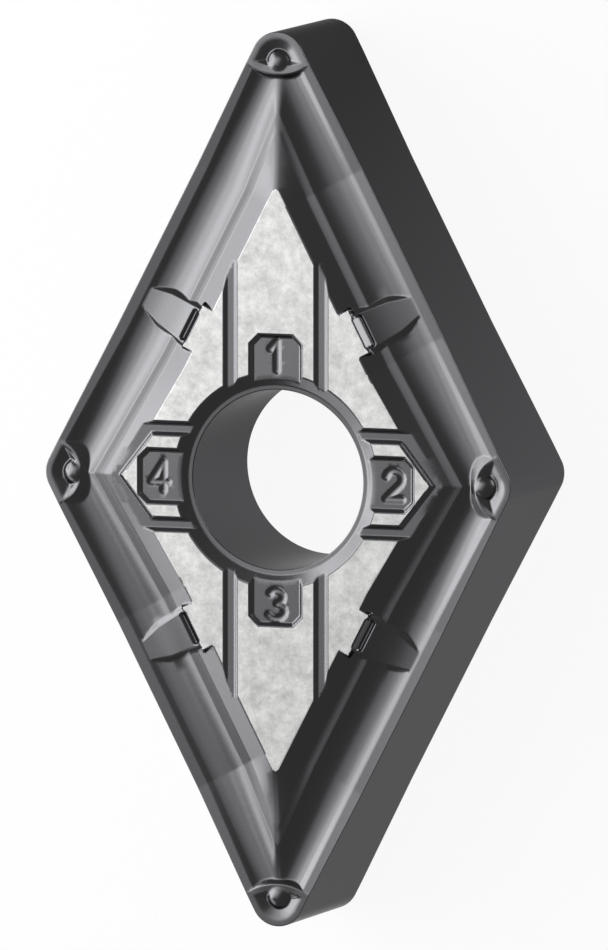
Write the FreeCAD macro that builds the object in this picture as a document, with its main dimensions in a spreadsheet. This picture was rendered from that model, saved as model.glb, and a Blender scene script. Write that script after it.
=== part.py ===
import FreeCAD, Part
import math
import os
import re
import Sketcher

# Double-sided turning insert: a 55 degree rhombus of sintered carbide with a bore,
# two seat faces and the same moulded chip-breaker on both faces.
# The body is drawn about its middle plane and then lifted onto its lower seat.
# Z runs through the bore, Y along the long diagonal, X along the short one.
# "Across" is the distance from a cutting edge into the face, and "along" the distance
# from the sharp acute corner down that edge. Levels are heights above the corner edge.

Vector = FreeCAD.Vector

SIZES = [
    ("inscribed", 12.70, "inscribed circle of the rhombus"),
    ("acute", 55.0, "angle of the cutting corners, degrees"),
    ("corner_radius", 0.80, "all four corners, seen from above"),
    ("seat_to_edge", 4.76, "lower seat to upper cutting corner"),
    ("seat_rise", 0.17, "seat face above the cutting corners"),
    ("bore_radius", 2.58, "hole for the clamp pin"),
    ("ring_radius", 3.08, "outer edge of the dished ring round the hole"),
    ("ring_foot_radius", 2.725, "inner edge of that ring"),
    ("ring_depth", 0.19, "seat down to the inner edge of the ring"),
    ("lip_drop", 0.01, "narrow step between ring and hole"),
    ("edge_dip", 0.18, "cutting edge below its corners, mid length"),
    ("dip_start", 2.10, "along: dip leaves the acute corner"),
    ("dip_floor_start", 5.40, "along: dip is at its full depth"),
    ("dip_floor_back", 4.80, "from the blunt corner: dip begins to rise again"),
    ("dip_back", 1.05, "from the blunt corner: dip ends"),
    ("land_acute", 0.22, "flat land behind the edge, acute end"),
    ("land_mid", 0.32, "the same, mid edge"),
    ("land_blunt", 0.19, "the same, blunt end"),
    ("land_slope", 6.0, "land falls inwards, degrees"),
    ("wall_across", 0.17, "short steep wall behind the land, width"),
    ("wall_drop_end", 0.085, "its height near the corners"),
    ("wall_drop_mid", 0.055, "its height mid edge"),
    ("groove_radius_acute", 5.00, "round bottom of the groove, cut on the long diagonal"),
    ("groove_radius_mid", 1.60, "the same, square to the edge"),
    ("groove_radius_blunt", 1.25, "the same, cut on the short diagonal"),
    ("rib_acute", 1.44, "across: groove ends at the rib, acute end"),
    ("rib_mid", 1.60, "the same, mid edge"),
    ("rib_blunt", 1.38, "the same, blunt end"),
    ("rib_width", 0.17, "flat top of the rib"),
    ("rib_level_acute", 0.02, "level of the rib, acute end"),
    ("rib_level_mid", -0.12, "the same, mid edge"),
    ("rib_level_blunt", -0.03, "the same, blunt end"),
    ("rib_climb", 0.015, "rib top rises inwards by"),
    ("boss_foot", 0.10, "from rib top to the steep flank of the boss"),
    ("seat_margin", 2.44, "across: seat begins"),
    ("seat_margin_blunt", 2.20, "the same on the short diagonal"),
    ("seat_break", 0.07, "broken edge round the seat, width"),
    ("seat_break_drop", 0.04, "its height"),
    ("lip_back_acute", 2.15, "acute tip of the rhombus to the crescent lip"),
    ("lip_back_blunt", 1.19, "the same, blunt tip"),
    ("bowl_land", 0.20, "land round the corner bowl"),
    ("bowl_depth", 0.15, "corner edge down to the bowl floor"),
    ("bowl_wall", 0.28, "width of the bowl's sloping wall"),
    ("lip_width_acute", 0.27, "thickness of the crescent in the middle"),
    ("lip_width_blunt", 0.19, "the same, blunt corner"),
    ("lip_tip_acute", 0.18, "thickness of the crescent at its tips"),
    ("lip_tip_blunt", 0.06, "the same, blunt corner"),
    ("lip_flank", 0.16, "sloping outer side of the crescent, width"),
    ("lip_height", 0.12, "its height"),
    ("dome_back_acute", 1.80, "acute tip of the rhombus to the dome"),
    ("dome_back_blunt", 0.96, "the same, blunt tip"),
    ("dome_radius", 0.37, "foot of the dome"),
    ("dome_level", 0.05, "top of the dome"),
    ("tongue_share", 0.617, "middle of the tongue, as a share of the whole edge"),
    ("tongue_tip", 0.22, "across: tongue begins"),
    ("tongue_tip_half", 0.24, "half width at the tip"),
    ("tongue_waist", 1.05, "across: middle section of the tongue"),
    ("tongue_waist_half", 0.46, "half width there"),
    ("tongue_waist_level", -0.185, "top of the tongue there"),
    ("tongue_half", 0.56, "half width at the slot"),
    ("tongue_tip_level", -0.235, "top of the tongue at its tip"),
    ("tongue_level", 0.05, "top of the tongue at the slot"),
    ("tongue_flank", 0.25, "sloping sides of tongue and tab, width"),
    ("tongue_root", 0.45, "corner edge down to the foot of those sides"),
    ("slot_start", 1.89, "across: slot between tongue and tab"),
    ("slot_end", 2.17, "across: slot ends, tab begins"),
    ("slot_level", -0.12, "bottom of the slot"),
    ("tab_half", 0.62, "half width of the tab of the seat"),
    ("gutter_near", 1.27, "shallow channels beside the hole: near side"),
    ("gutter_far", 1.48, "far side"),
    ("gutter_depth", 0.055, "depth of the two long channels"),
    ("gutter_slope", 60.0, "walls of the long channels from upright, degrees"),
    ("ledge_depth", 0.10, "depth of the short channels, ledges and pockets"),
    ("ledge_tip", 4.80, "X where the two ledges meet"),
    ("ledge_turn", 3.80, "X where channel becomes ledge"),
    ("ledge_width", 0.40, "ledge and the room outside it"),
    ("ledge_slope", 45.0, "walls of the short channels and pockets, degrees"),
    ("pocket_half", 0.70, "half width of the four number pockets"),
    ("pocket_end", 4.08, "outer end of the pockets"),
    ("pocket_corner", 0.22, "cut corner of the pockets"),
]

# Sums of the sizes that several features share.
TERMS = {
    "lean": "(acute * 1 deg / 2)",
    "total": "(seat_to_edge + seat_rise)",
    "seat": "(total / 2)",
    "edge": "(seat - seat_rise)",
    "half_long": "(inscribed / 2 / sin(lean))",
    "half_short": "(inscribed / 2 / cos(lean))",
    "side": "(inscribed / sin(acute * 1 deg))",
    "clear": "(seat_rise * 3)",
    "land_fall": "tan(land_slope * 1 deg)",
    "dip_floor_end": "(side - dip_floor_back)",
    "dip_end": "(side - dip_back)",
    "rise_acute": "(edge_dip / (dip_floor_start - dip_start))",
    "rise_blunt": "(edge_dip / (dip_end - dip_floor_end))",
    "lip_acute": "(half_long - lip_back_acute)",
    "lip_blunt": "(half_short - lip_back_blunt)",
    "dome_acute": "(half_long - dome_back_acute)",
    "dome_blunt": "(half_short - dome_back_blunt)",
    "tongue_along": "(side * tongue_share)",
}

doc = FreeCAD.newDocument("carbide_insert")
sheet = doc.addObject("Spreadsheet::Sheet", "Sizes")
for row, (alias, value, meaning) in enumerate(SIZES, start=1):
    sheet.set(f"A{row}", alias)
    sheet.set(f"B{row}", str(value))
    sheet.set(f"C{row}", meaning)
    sheet.setAlias(f"B{row}", alias)
doc.recompute()
ALIASES = {alias for alias, value, meaning in SIZES}


def formula(text):
    """Spell out a sum of sizes so that the document can evaluate it."""
    def spell(match):
        word = match.group(0)
        if word in TERMS:
            return formula(TERMS[word])
        return f"Sizes.{word}" if word in ALIASES else word
    return re.sub(r"[a-z_]+", spell, str(text))


def value(text):
    """Present value of a sum of sizes."""
    result = sheet.evalExpression(formula(text))
    return float(getattr(result, "Value", result))


body = doc.addObject("PartDesign::Body", "insert_body")
body.Label = "insert_body"
body.setExpression("Placement.Base.z", formula("seat"))
PLANES = {item.Role: item for item in body.Origin.OriginFeatures}


def arc_between(start, end, radius):
    """Arc from start to end; a positive radius bulges to the right of the way."""
    chord = end - start
    reach = abs(radius)
    side = -1 if radius > 0 else 1
    across = Vector(-chord.y, chord.x, 0) * (side / chord.Length)
    sag = reach - math.sqrt(reach * reach - chord.Length ** 2 / 4)
    return Part.Arc(start, (start + end) / 2 + across * sag, end)


def sketch(name, plane, points, lift="0", slide="0", turn=None):
    """Closed outline on an origin plane. A point is (x, y), or (x, y, radius) where an arc
    leads to the next one, all as sums of sizes. Slide and lift move the plane along its own
    first and third axis, and turn swings it about its second."""
    item = body.newObject("Sketcher::SketchObject", name)
    item.AttachmentSupport = [(PLANES[plane], "")]
    item.MapMode = "FlatFace"
    if turn is not None:
        swing = FreeCAD.Rotation(Vector(0, 1, 0), value(turn))
        item.AttachmentOffset = FreeCAD.Placement(Vector(), swing)
        item.setExpression("AttachmentOffset.Rotation.Angle", formula(turn))
    item.setExpression("AttachmentOffset.Base.x", formula(slide))
    item.setExpression("AttachmentOffset.Base.z", formula(lift))
    spots = [Vector(value(point[0]), value(point[1]), 0) for point in points]
    begins, ends = [], []
    for start, end, point in zip(spots, spots[1:] + spots[:1], points):
        radius = value(point[2]) if len(point) == 3 else 0
        run = arc_between(start, end, radius) if radius else Part.LineSegment(start, end)
        item.addGeometry(run, False)
        begins.append(2 if radius < 0 else 1)
        ends.append(1 if radius < 0 else 2)
    for index, point in enumerate(points):
        after = (index + 1) % len(points)
        joint = Sketcher.Constraint("Coincident", index, ends[index], after, begins[after])
        item.addConstraint(joint)
        for kind, text in zip(("DistanceX", "DistanceY"), point):
            place = Sketcher.Constraint(kind, index, begins[index], value(text))
            item.setExpression(f"Constraints[{item.addConstraint(place)}]", formula(text))
        if len(point) == 3:
            bend = Sketcher.Constraint("Radius", index, abs(value(point[2])))
            item.setExpression(f"Constraints[{item.addConstraint(bend)}]", formula(f"abs({point[2]})"))
    return item


def feature(kind, name, profile, **settings):
    """A feature on a sketch. Settings given as text are sums of sizes."""
    item = body.newObject(f"PartDesign::{kind}", name)
    item.Profile = profile
    for key, setting in settings.items():
        if isinstance(setting, str) and key in ("Length", "TaperAngle", "Angle"):
            item.setExpression(key, formula(setting))
        else:
            setattr(item, key, setting)
    profile.Visibility = False
    return item


def mirrored(name, originals, planes):
    """Repeat features across the given origin planes."""
    item = body.newObject("PartDesign::MultiTransform", name)
    item.Originals = originals
    steps = []
    for plane in planes:
        step = body.newObject("PartDesign::Mirrored", f"{name}_{plane}")
        step.MirrorPlane = (PLANES[plane], [""])
        steps.append(step)
    item.Transformations = steps
    body.Tip = item
    return item


# Blank: the rhombus with rounded corners, seat to seat.
rhombus = sketch("rhombus", "XY_Plane", [
    ("half_short", "0"), ("0", "half_long"), ("-half_short", "0"), ("0", "-half_long")])
blank = feature("Pad", "blank", rhombus, SideType="Symmetric", Length="total")
doc.recompute()
upright = [f"Edge{index}" for index, edge in enumerate(blank.Shape.Edges, start=1)
           if abs(edge.tangentAt(edge.FirstParameter).z) > 0.99]
corners = body.newObject("PartDesign::Fillet", "corners")
corners.Base = (blank, upright)
corners.setExpression("Radius", formula("corner_radius"))

# Hole: one turned profile, with a dished ring at each seat.
ring_foot = "seat - ring_depth"
lip_foot = "seat - ring_depth - lip_drop"
hole_profile = sketch("hole_profile", "XZ_Plane", [
    ("0", "-seat - clear"), ("ring_radius", "-seat - clear"), ("ring_radius", "-seat"),
    ("ring_foot_radius", f"-({ring_foot})"), ("bore_radius", f"-({lip_foot})"),
    ("bore_radius", lip_foot), ("ring_foot_radius", ring_foot), ("ring_radius", "seat"),
    ("ring_radius", "seat + clear"), ("0", "seat + clear")])
hole = feature("Groove", "hole", hole_profile, ReferenceAxis=(hole_profile, ["V_Axis"]), Angle=360)


def chip_section(name, reach, plane, edge_level, land, wall_drop, radius, rib, rib_level, margin,
                 **frame):
    """Cross-section of what the chip-breaker takes away, from outside the edge to the seat.
    Reach turns a distance across into the sketch's own first axis."""
    foot = f"({land} + wall_across)"
    rib_end = f"({rib} + rib_width)"
    rows = [
        ("-clear", f"edge + ({edge_level('-clear')}) + clear * land_fall"),
        (land, f"edge + ({edge_level(land)}) - {land} * land_fall"),
        (foot, f"edge + ({edge_level(foot)}) - {land} * land_fall - {wall_drop}", radius),
        (rib, f"edge + {rib_level}"),
        (rib_end, f"edge + {rib_level} + rib_climb"),
        (f"({rib_end} + boss_foot)", f"edge + {rib_level} + 2 * rib_climb"),
        (f"({margin} - seat_break)", "seat - seat_break_drop"),
        (margin, "seat"),
        (margin, "seat + clear"),
        ("-clear", "seat + clear"),
    ]
    return sketch(name, plane, [(reach(row[0]), *row[1:]) for row in rows], **frame)


def across_edge(along):
    """Frame of a plane square to the cutting edge, at a distance along it."""
    return {"slide": f"{along} * sin(lean)", "lift": f"{along} * cos(lean) - half_long",
            "turn": "180 + acute / 2"}


# Chip-breaker of one edge: four sections, the end ones on the two diagonals, where the
# grooves of neighbouring edges meet in a ridge.
long_section = chip_section(
    "section_long_diagonal", lambda d: f"(inscribed / 2 - {d}) / sin(lean)", "YZ_Plane",
    lambda d: f"rise_acute * (dip_start - ({d}) / tan(lean))",
    "land_acute", "wall_drop_end", "-groove_radius_acute", "rib_acute", "rib_level_acute",
    "seat_margin")
mid_sections = [
    chip_section(name, lambda d: d, "XZ_Plane", lambda d: "-edge_dip",
                 "land_mid", "wall_drop_mid", "groove_radius_mid", "rib_mid", "rib_level_mid",
                 "seat_margin", **across_edge(along))
    for name, along in (("section_dip_start", "dip_floor_start"), ("section_dip_end", "dip_floor_end"))]
short_section = chip_section(
    "section_short_diagonal", lambda d: f"(inscribed / 2 - {d}) / cos(lean)", "XZ_Plane",
    lambda d: f"rise_blunt * (side - ({d}) * tan(lean) - dip_end)",
    "land_blunt", "wall_drop_end", "-groove_radius_blunt", "rib_blunt", "rib_level_blunt",
    "seat_margin_blunt")
chip_groove = feature("SubtractiveLoft", "chip_groove", long_section,
                      Sections=mid_sections + [short_section], Ruled=True)
grooves = mirrored("chip_grooves", [chip_groove], ("YZ_Plane", "XZ_Plane", "XY_Plane"))


def on_face(along, across):
    """X and Y of a point given along and across the cutting edge."""
    return (f"({along}) * sin(lean) - ({across}) * cos(lean)",
            f"half_long - ({along}) * cos(lean) - ({across}) * sin(lean)")


def facing(corner, x, y):
    """Outline point of a corner drawn pointing along +Y, turned to +X for a blunt corner."""
    return (x, y) if corner == "acute" else (y, f"-({x})")


def nose(corner):
    """Crescent lip, bowl and dome that stand in one corner of the face."""
    acute = corner == "acute"
    start = "dip_start" if acute else "dip_end"
    ahead = "-" if acute else "+"
    axis = "half_long" if acute else "half_short"
    lean_out = ("cos(lean)", "sin(lean)") if acute else ("sin(lean)", "cos(lean)")

    def local(along, across):
        """Side and forward place of a point on the edge's own grid, corner forwards."""
        x, y = on_face(along, across)
        return (x, y) if acute else (y, x)

    def ring(points_right, radius_back, radius_front):
        """Outline through points on the right, front to back, and their mirror images."""
        left = [(f"-({side})", forward) for side, forward in points_right]
        right = list(reversed(points_right))
        path = [left[-1] + ((radius_back,) if radius_back else ())] + right
        path[-1] = path[-1] + ((radius_front,) if radius_front else ())
        path += left[:-1]
        if acute:
            return path
        return [(forward, f"-({side})", *rest) for side, forward, *rest in path]

    upright = "YZ_Plane" if acute else "XZ_Plane"
    land = f"land_{corner}"
    wing = local(start, land)
    sag = f"({wing[1]} - lip_{corner})"
    crescent = f"((({wing[0]})^2 + {sag}^2) / (2 * {sag}))"
    outside = local(start, "-clear")
    front = (outside[0], f"{axis} + clear")
    clearing = sketch(f"{corner}_clearing", "XY_Plane",
                      ring([front, outside, wing], crescent, None), lift="edge")
    level = feature("Pocket", f"{corner}_level", clearing, Reversed=True, Length="clear")

    def tangent(inset):
        """Where the rounded corner, drawn in by an inset, meets the straight edge."""
        radius = f"(corner_radius - {inset})"
        return (f"{radius} * {lean_out[0]}",
                f"{axis} - corner_radius / {lean_out[1]} + {radius} * {lean_out[1]}")

    floor = sketch(f"{corner}_platform", "XY_Plane",
                   ring([tangent("0"), local(start, "0"), wing], crescent, "corner_radius"),
                   lift="edge")
    platform = feature("Pad", f"{corner}_lip", floor, Reversed=True, Length="clear")
    flank_profile = sketch(f"{corner}_flank_profile", upright, [
        (f"-{crescent}", "edge"), (f"-{crescent}", "edge - lip_height"),
        (f"-{crescent} - lip_flank", "edge - lip_height")], slide=f"lip_{corner} + {crescent}")
    flank = feature("Revolution", f"{corner}_flank", flank_profile, Midplane=True,
                    ReferenceAxis=(flank_profile, ["V_Axis"]),
                    Angle=f"2 * asin(({wing[0]}) / {crescent})")

    def bowl_outline(name, inset, step, lift):
        tip = local(f"{start} {ahead} (lip_tip_{corner} + {step})", inset)
        back = (f"dome_radius - {step} / 2", f"lip_{corner} + lip_width_{corner} + {step} / 2")
        return sketch(name, "XY_Plane",
                      ring([tangent(inset), tip, back], None, f"corner_radius - {inset}"), lift=lift)

    rim = bowl_outline(f"{corner}_bowl_rim", "bowl_land", "0", "edge")
    foot = bowl_outline(f"{corner}_bowl_floor", "(bowl_land + bowl_wall)", "bowl_wall",
                        "edge - bowl_depth")
    bowl = feature("SubtractiveLoft", f"{corner}_bowl", rim, Sections=[foot], Ruled=True)

    height = "(bowl_depth + dome_level)"
    dome_profile = sketch(f"{corner}_dome_profile", upright, [
        ("0", "edge - 2 * bowl_depth"), ("dome_radius", "edge - 2 * bowl_depth"),
        ("dome_radius", "edge - bowl_depth", f"(dome_radius^2 + {height}^2) / (2 * {height})"),
        ("0", "edge + dome_level")], slide=f"dome_{corner}")
    dome = feature("Revolution", f"{corner}_dome", dome_profile,
                   ReferenceAxis=(dome_profile, ["V_Axis"]), Angle=360)
    planes = ("XZ_Plane", "XY_Plane") if acute else ("YZ_Plane", "XY_Plane")
    mirrored(f"{corner}_corners", [level, platform, flank, bowl, dome], planes)


nose("acute")
nose("blunt")


def beside_edge(name, across, half, level):
    """Section of a raised tongue on a plane parallel to the cutting edge."""
    low = "edge - tongue_root"
    x, y = on_face("tongue_along", across)
    return sketch(name, "XZ_Plane", [
        (f"-({half}) - tongue_flank", low), (f"{half} + tongue_flank", low),
        (half, level), (f"-({half})", level)],
        slide=x, lift=f"-({y})", turn="acute / 2 - 90")


# Tongue in the middle of each groove, the tab of the seat behind it and the slot between.
tongue_sections = [
    beside_edge("tongue_tip_section", "tongue_tip", "tongue_tip_half", "edge + tongue_tip_level"),
    beside_edge("tongue_waist_section", "tongue_waist", "tongue_waist_half", "edge + tongue_waist_level"),
    beside_edge("tongue_root_section", "slot_end", "tongue_half", "edge + tongue_level")]
tongue = feature("AdditiveLoft", "tongue", tongue_sections[0], Sections=tongue_sections[1:], Ruled=True)
tab_sections = [beside_edge(name, across, "tab_half", "seat") for name, across in (
    ("tab_front_section", "(slot_start + slot_end) / 2"), ("tab_root_section", "seat_margin + clear"))]
tab = feature("AdditiveLoft", "tab", tab_sections[0], Sections=tab_sections[1:], Ruled=True)
slot_profile = sketch("slot_profile", "XZ_Plane", [
    ("slot_start", "edge + tongue_level"), ("(slot_start + slot_end) / 2", "edge + slot_level"),
    ("slot_end", "seat"), ("slot_end", "seat + clear"), ("slot_start", "seat + clear")],
    **across_edge("tongue_along"))
slot = feature("Pocket", "slot", slot_profile, SideType="Symmetric", Length="2 * tab_half")
mirrored("tongues", [tongue, tab, slot], ("YZ_Plane", "XZ_Plane", "XY_Plane"))

# Long shallow channels on both sides of the hole, along Y.
gutter_rise = "(gutter_depth + clear) * tan(gutter_slope * 1 deg)"
gutter_profile = sketch("gutter_profile", "XZ_Plane", [
    ("gutter_near", "seat - gutter_depth"), ("gutter_far", "seat - gutter_depth"),
    (f"gutter_far + {gutter_rise}", "seat + clear"), (f"gutter_near - {gutter_rise}", "seat + clear")])
gutter = feature("Pocket", "gutter", gutter_profile, SideType="Symmetric", Length="half_long")
mirrored("gutters", [gutter], ("YZ_Plane", "XY_Plane"))

# Short channels along X, which turn into the two ledges round the blunt tip of the seat.
ledge_path = [
    ("bore_radius / 2", "gutter_near"), ("ledge_turn", "gutter_near"), ("ledge_tip", "0")]
ledge_back = [
    ("ledge_tip + 2 * ledge_width", "0"), ("ledge_turn + ledge_width", "gutter_far"),
    ("bore_radius / 2", "gutter_far")]
ledge_outline = sketch("ledge_outline", "XY_Plane", (
    ledge_path + [(x, f"-({y})") for x, y in reversed(ledge_path[:-1])]
    + [(x, f"-({y})") for x, y in reversed(ledge_back[1:])] + ledge_back),
    lift="seat - ledge_depth")
ledge = feature("Pocket", "ledge", ledge_outline, Reversed=True, Length="clear",
                TaperAngle="ledge_slope")
mirrored("ledges", [ledge], ("YZ_Plane", "XY_Plane"))


def number_pocket(name, turned, planes):
    """Shallow pocket for one number, from the dished ring outwards."""
    half = [("bore_radius / 2", "pocket_half"), ("pocket_end - pocket_corner", "pocket_half"),
            ("pocket_end", "pocket_half - pocket_corner")]
    path = half + [(x, f"-({y})") for x, y in reversed(half)]
    if turned:
        path = [(f"-({y})", x) for x, y in path]
    outline = sketch(f"{name}_outline", "XY_Plane", path, lift="seat - ledge_depth")
    pocket = feature("Pocket", name, outline, Reversed=True, Length="clear",
                     TaperAngle="ledge_slope")
    mirrored(f"{name}s", [pocket], planes)


number_pocket("side_pocket", False, ("YZ_Plane", "XY_Plane"))
number_pocket("end_pocket", True, ("XZ_Plane", "XY_Plane"))

doc.recompute()
for item in doc.Objects:
    if "Invalid" in item.State or "Error" in item.State:
        raise RuntimeError(f"{item.Label} failed: {item.State}")
shape = body.Shape
if shape.isNull() or not shape.isValid() or len(shape.Solids) != 1:
    raise RuntimeError("the body is not one valid solid")
os.makedirs("parts", exist_ok=True)
shape.exportStep(f"parts/{body.Label}.step")
box = shape.optimalBoundingBox()
print(f"{body.Label}: {shape.Volume:.2f} mm3, {len(shape.Faces)} faces, "
      f"{box.XLength:.3f} x {box.YLength:.3f} x {box.ZLength:.3f} mm")
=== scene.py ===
# %% [markdown]
# # Double-sided turning insert, 55 degrees
# A cutting tool edge that is thrown away when worn: a rhombus of sintered tungsten
# carbide, pressed and fired with its chip-breaker already in it, coated dark, and
# then ground flat on the two seat faces. This script gives the CAD solid its real
# surface: rounded edges, corner numbers, coating and ground seat.

import math

import bpy
import numpy as np
from mathutils import Matrix, Vector
from mathutils.geometry import delaunay_2d_cdt


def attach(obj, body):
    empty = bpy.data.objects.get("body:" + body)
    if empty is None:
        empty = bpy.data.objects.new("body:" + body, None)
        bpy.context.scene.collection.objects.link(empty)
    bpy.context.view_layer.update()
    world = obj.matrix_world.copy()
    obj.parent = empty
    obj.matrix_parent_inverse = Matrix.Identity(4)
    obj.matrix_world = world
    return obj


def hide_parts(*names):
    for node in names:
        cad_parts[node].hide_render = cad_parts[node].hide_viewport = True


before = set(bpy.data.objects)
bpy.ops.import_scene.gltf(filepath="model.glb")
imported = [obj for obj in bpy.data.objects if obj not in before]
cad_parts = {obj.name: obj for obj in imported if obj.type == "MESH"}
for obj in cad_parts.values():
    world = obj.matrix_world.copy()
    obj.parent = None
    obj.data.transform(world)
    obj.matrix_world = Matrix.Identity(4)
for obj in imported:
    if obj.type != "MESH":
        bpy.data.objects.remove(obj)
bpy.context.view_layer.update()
MM = 0.001

# %% [markdown]
# ## Sizes of the face
# The press tool that shapes the powder is one carved surface, so the face is written
# here as one height over the plane: millimetres above the middle of the insert. Every
# edge has the same carving, so a point is first put on its own cutting edge's grid:
# `along` from the sharp corner, `across` from the edge into the face. Sizes are in
# millimetres; the inscribed circle stays 0.006 inside the CAD's.

# %% Sizes of the face
INSCRIBED = 12.694
LEAN = math.radians(55 / 2)
SIN, COS, TAN = math.sin(LEAN), math.cos(LEAN), math.tan(LEAN)
HALF_LONG, HALF_SHORT = INSCRIBED / 2 / SIN, INSCRIBED / 2 / COS
SIDE = INSCRIBED / math.sin(2 * LEAN)
CORNER = 0.80
ACUTE_CENTRE = HALF_LONG - CORNER / SIN
BLUNT_CENTRE = HALF_SHORT - CORNER / COS
SEAT, SEAT_RISE = 4.93 / 2, 0.17
EDGE = SEAT - SEAT_RISE
BORE = 2.58
HONE, BORE_HONE = 0.03, 0.03

# Values in fours belong to four stations down the edge, from the sharp corner on.
DIP, DIP_PLACES = 0.18, (2.10, 5.40, SIDE - 4.80, SIDE - 1.05)
LAND_FALL = math.tan(math.radians(6))
LAND = (0.22, 0.32, 0.32, 0.19)
BEYOND = 0.5
WALL = 0.17
WALL_DROP = (0.085, 0.055, 0.055, 0.085)
GROOVE_SAG = (0.131, 0.099, 0.099, 0.140)
RIB = (1.44, 1.60, 1.60, 1.38)
RIB_LEVEL = (0.02, -0.12, -0.12, -0.03)
RIB_TOP = ((0.17, 0.015), (0.27, 0.03))
SEAT_MARGIN = (2.44, 2.44, 2.44, 2.20)
TONGUE_ALONG = SIDE * 0.617
print("face", round(2 * HALF_LONG, 2), "x", round(2 * HALF_SHORT, 2), "mm between the sharp tips")


def on_face(along, across):
    """X and Y, in the first quarter, of a point on a cutting edge's grid."""
    return along * SIN - across * COS, HALF_LONG - along * COS - across * SIN


def on_edge_grid(x, y):
    """Along and across for a point of the first quarter."""
    return x * SIN + (HALF_LONG - y) * COS, INSCRIBED / 2 - x * COS - y * SIN


def between(along, places, values):
    """Straight lines through four stations down the edge, carried on past the ends."""
    p, v = places, values
    runs = [v[i] + (along - p[i]) * (v[i + 1] - v[i]) / (p[i + 1] - p[i]) for i in range(3)]
    return np.where(along < p[1], runs[0], np.where(along > p[2], runs[2], runs[1]))


def stations(across):
    """Where the four cross-sections cut the line at these distances across."""
    return across[0] / TAN, DIP_PLACES[1], DIP_PLACES[2], SIDE - across[3] * TAN


# %% [markdown]
# ## Chip-breaker groove
# The land behind the edge carries the cut; the groove behind it curls the chip until it
# breaks. A lofted groove would need one drawn section for each station, so the section
# is a table of breaks instead, and the levels between two stations run straight.

# %% Cross-section of the groove
def section_rows():
    """Each break of the cross-section: its distance across, level and whether the level
    hangs from the dipping edge."""
    land, foot = np.array(LAND), np.array(LAND) + WALL
    outside = np.full(4, -BEYOND)
    rib, level = np.array(RIB), np.array(RIB_LEVEL)
    return [
        (outside, -outside * LAND_FALL, True),
        (land, -land * LAND_FALL, True),
        (foot, -land * LAND_FALL - np.array(WALL_DROP), True),
        (rib, level, False),
        *((rib + width, level + rise, False) for width, rise in RIB_TOP),
        (np.array(SEAT_MARGIN), np.full(4, SEAT_RISE), False),
    ]


ROWS = section_rows()
FOOT_ROW = 2
print("breaks of the section", len(ROWS))


def groove_level(along, across):
    """Chip-breaker: land, steep wall, round groove, rib and flank of the seat."""
    start, low_from, low_to, end = DIP_PLACES
    dip = np.maximum(-DIP, np.maximum(DIP * (start - along) / (low_from - start),
                                      DIP * (along - end) / (end - low_to)))
    breaks = [(between(along, stations(row[0]), row[0]),
               between(along, stations(row[0]), row[1]) + (dip if row[2] else 0)) for row in ROWS]
    level = np.full(along.shape, SEAT - EDGE)
    for index in reversed(range(len(ROWS) - 1)):
        (near, low), (far, high) = breaks[index], breaks[index + 1]
        t = (across - near) / (far - near)
        run = low + t * (high - low)
        if index == FOOT_ROW:
            bend = between(along, stations(ROWS[FOOT_ROW][0]), GROOVE_SAG)
            run = run - 4 * t * (1 - t) * bend
        level = np.where(across < far, run, level)
    return level


# %% [markdown]
# ## Corners
# A light cut touches the corner alone. A crescent lip stands across it, with a bowl
# between lip and edge and a small dome in the bowl, which roll the thinnest chips. They
# could be joined to the face as solids, but the seams would be sharp: written as levels,
# they meet the groove in rounded creases. The two sharp corners are alike, and so are
# the two blunt ones, and one function carves both kinds.

# %% Sizes of the corners
# The lip's ends meet the land `start` along and `wing_land` across, and the corner lies
# `ahead` of them. `lip` and `dome` are places down the diagonal; `width`, `tilt` and
# `slope` are the lip's, and `tip` is how far its inner ends stand off from `start`.
CORNERS = {
    "acute": dict(start=DIP_PLACES[0], ahead=-1, wing_land=LAND[0], lip=HALF_LONG - 2.15,
                  width=0.27, tip=0.18, dome=HALF_LONG - 1.79, tilt=0.08, slope=1.1),
    "blunt": dict(start=DIP_PLACES[3], ahead=1, wing_land=LAND[3], lip=HALF_SHORT - 1.18,
                  width=0.19, tip=0.06, dome=HALF_SHORT - 0.965, tilt=0.25, slope=0.66),
}
LIP_ROUND, LIP_FOOT, LIP_REACH = 0.025, 0.02, 0.5
BOWL_LAND, BOWL_WALL, BOWL_DEPTH = 0.19, 0.32, 0.10
BOWL_BACK, BOWL_CREASE, BOWL_RIM, BOWL_FULL = (0.15, 0.10), 0.3, 0.25, 1.3
DOME_RADIUS, DOME_RISE, DOME_TOP, DOME_FOOT = 0.37, 0.20, 0.07, 0.05
for kind, corner in CORNERS.items():
    wing = on_face(corner["start"], corner["wing_land"])
    corner["back"] = corner["lip"] + corner["width"]
    tip = on_face(corner["start"] + corner["ahead"] * corner["tip"], BOWL_LAND)
    if kind == "blunt":
        wing, tip = wing[::-1], tip[::-1]
    corner["wing"] = wing
    sag = wing[1] - corner["lip"]
    corner["crescent"] = (wing[0] ** 2 + sag ** 2) / (2 * sag)
    corner["middle"] = corner["lip"] + corner["crescent"]
    corner["spread"] = math.acos(max(-1.0, (corner["middle"] - wing[1]) / corner["crescent"]))
    across_tip = np.array([tip[0] - DOME_RADIUS, tip[1] - corner["back"]])
    across_tip /= np.linalg.norm(across_tip)
    corner["tip_line"] = (-across_tip[1], across_tip[0])
    print(kind, "lip radius", round(corner["crescent"], 2), "mm")


# %% Carving of the corners
def inside_outline(x, y):
    """Distance from the outline of the insert into it, first quarter."""
    along, across = on_edge_grid(x, y)
    for centre, side, forward in ((ACUTE_CENTRE, x, y), (BLUNT_CENTRE, y, x)):
        fan = math.pi / 2 - LEAN if centre == ACUTE_CENTRE else LEAN
        beyond = np.arctan2(side, forward - centre)
        across = np.where(beyond < fan, CORNER - np.hypot(side, forward - centre), across)
    return across


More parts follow.
